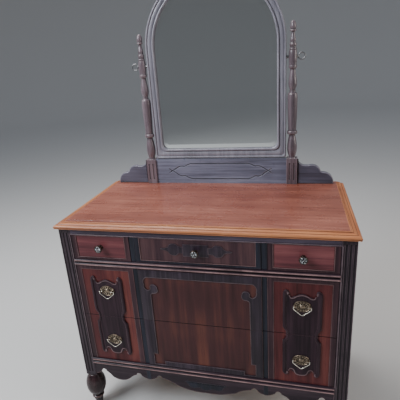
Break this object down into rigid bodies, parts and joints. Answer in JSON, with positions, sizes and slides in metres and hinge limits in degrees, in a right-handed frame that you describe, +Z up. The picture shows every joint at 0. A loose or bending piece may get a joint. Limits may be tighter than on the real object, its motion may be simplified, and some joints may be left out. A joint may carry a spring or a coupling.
{
  "type": "dresser with mirror",
  "caption": "Veneered dresser with drawers, turned feet, a scalloped apron and an arched mirror that tilts between turned posts.",
  "frame": {"origin": "on the floor under the middle of the bounding box, midway between the knobs' fronts and the battens' backs", "axes": "+X to the dresser's right as one faces it, -Y out of the drawer fronts, +Z up"},
  "size_m": [1.1345, 0.6, 1.838],
  "materials": {
    "wood_top": "polished mahogany, worn varnish",
    "wood_case": "dark walnut stain, satin varnish",
    "wood_stand": "dark walnut stain, satin varnish",
    "wood_front": "red mahogany and walnut veneer, satin varnish",
    "ebonised": "ebonised, satin",
    "wood_inside": "bare secondary wood",
    "brass": "antique brass, pressed and polished on the high spots",
    "steel": "dull plated steel",
    "glass": "silvered plate glass"
  },
  "bodies": {
    "case": {"top_panel": "wood_top", "top_edge_front": "wood_top", "top_edge_left": "wood_top", "top_edge_right": "wood_top", "frieze_rail": "wood_case", "mid_rail": "wood_case", "lower_rail": "wood_case", "apron": "wood_case", "front_leg_left": "wood_case", "front_leg_right": "wood_case", "rear_leg_left": "wood_case", "rear_leg_right": "wood_case", "side_panel_left": "wood_case", "side_panel_right": "wood_case", "side_rails": "wood_case", "stand_rail": "wood_stand", "stand_post_left": "wood_stand", "stand_post_right": "wood_stand", "stand_wings": "wood_stand", "stile_left": "ebonised", "stile_right": "ebonised", "mid_dust_board": "wood_inside", "lower_dust_board": "wood_inside", "long_runners": "wood_inside", "top_guides": "wood_inside", "back_panel": "wood_inside", "battens": "wood_inside", "batten_screws": "steel"},
    "left_drawer": {"left_drawer_front": "wood_front", "left_drawer_box": "wood_inside", "left_drawer_bottom": "wood_inside", "left_knob": "brass"},
    "centre_drawer": {"centre_drawer_front": "wood_front", "centre_drawer_box": "wood_inside", "centre_drawer_bottom": "wood_inside", "centre_knob": "brass"},
    "right_drawer": {"right_drawer_front": "wood_front", "right_drawer_box": "wood_inside", "right_drawer_bottom": "wood_inside", "right_knob": "brass"},
    "upper_drawer": {"upper_drawer_front": "wood_front", "upper_drawer_box": "wood_inside", "upper_drawer_bottom": "wood_inside", "upper_overlays": "ebonised", "upper_pull_plates": "brass"},
    "lower_drawer": {"lower_drawer_front": "wood_front", "lower_drawer_box": "wood_inside", "lower_drawer_bottom": "wood_inside", "lower_overlays": "ebonised", "lower_pull_plates": "brass"},
    "upper_bail_left": {"upper_bail_left": "brass"},
    "upper_bail_right": {"upper_bail_right": "brass"},
    "lower_bail_left": {"lower_bail_left": "brass"},
    "lower_bail_right": {"lower_bail_right": "brass"},
    "mirror": {"mirror_frame": "wood_stand", "mirror_glass": "glass", "mirror_backboard": "wood_inside", "pivot_plates": "steel"},
    "thumbscrew_left": {"thumbscrew_left": "steel"},
    "thumbscrew_right": {"thumbscrew_right": "steel"}
  },
  "joints": [
    {"name": "left_drawer_slide", "type": "slide", "parent": "case", "child": "left_drawer", "axis": [0, -1, 0], "range_m": [0, 0.38]},
    {"name": "centre_drawer_slide", "type": "slide", "parent": "case", "child": "centre_drawer", "axis": [0, -1, 0], "range_m": [0, 0.38]},
    {"name": "right_drawer_slide", "type": "slide", "parent": "case", "child": "right_drawer", "axis": [0, -1, 0], "range_m": [0, 0.38]},
    {"name": "upper_drawer_slide", "type": "slide", "parent": "case", "child": "upper_drawer", "axis": [0, -1, 0], "range_m": [0, 0.38]},
    {"name": "lower_drawer_slide", "type": "slide", "parent": "case", "child": "lower_drawer", "axis": [0, -1, 0], "range_m": [0, 0.38]},
    {"name": "upper_bail_left_swing", "type": "hinge", "parent": "upper_drawer", "child": "upper_bail_left", "pos_m": [-0.378, -0.2835, 0.63], "axis": [-1, 0, 0], "range_deg": [0, 95]},
    {"name": "upper_bail_right_swing", "type": "hinge", "parent": "upper_drawer", "child": "upper_bail_right", "pos_m": [0.378, -0.2835, 0.63], "axis": [-1, 0, 0], "range_deg": [0, 95]},
    {"name": "lower_bail_left_swing", "type": "hinge", "parent": "lower_drawer", "child": "lower_bail_left", "pos_m": [-0.378, -0.2835, 0.395], "axis": [-1, 0, 0], "range_deg": [0, 95]},
    {"name": "lower_bail_right_swing", "type": "hinge", "parent": "lower_drawer", "child": "lower_bail_right", "pos_m": [0.378, -0.2835, 0.395], "axis": [-1, 0, 0], "range_deg": [0, 95]},
    {"name": "mirror_tilt", "type": "hinge", "parent": "case", "child": "mirror", "pos_m": [0, 0.2575, 1.467], "axis": [1, 0, 0], "range_deg": [-22, 22]},
    {"name": "thumbscrew_left_turn", "type": "hinge", "parent": "mirror", "child": "thumbscrew_left", "pos_m": [-0.34, 0.2575, 1.467], "axis": [-1, 0, 0], "range_deg": [0, 360]},
    {"name": "thumbscrew_right_turn", "type": "hinge", "parent": "mirror", "child": "thumbscrew_right", "pos_m": [0.34, 0.2575, 1.467], "axis": [1, 0, 0], "range_deg": [0, 360]}
  ]
}
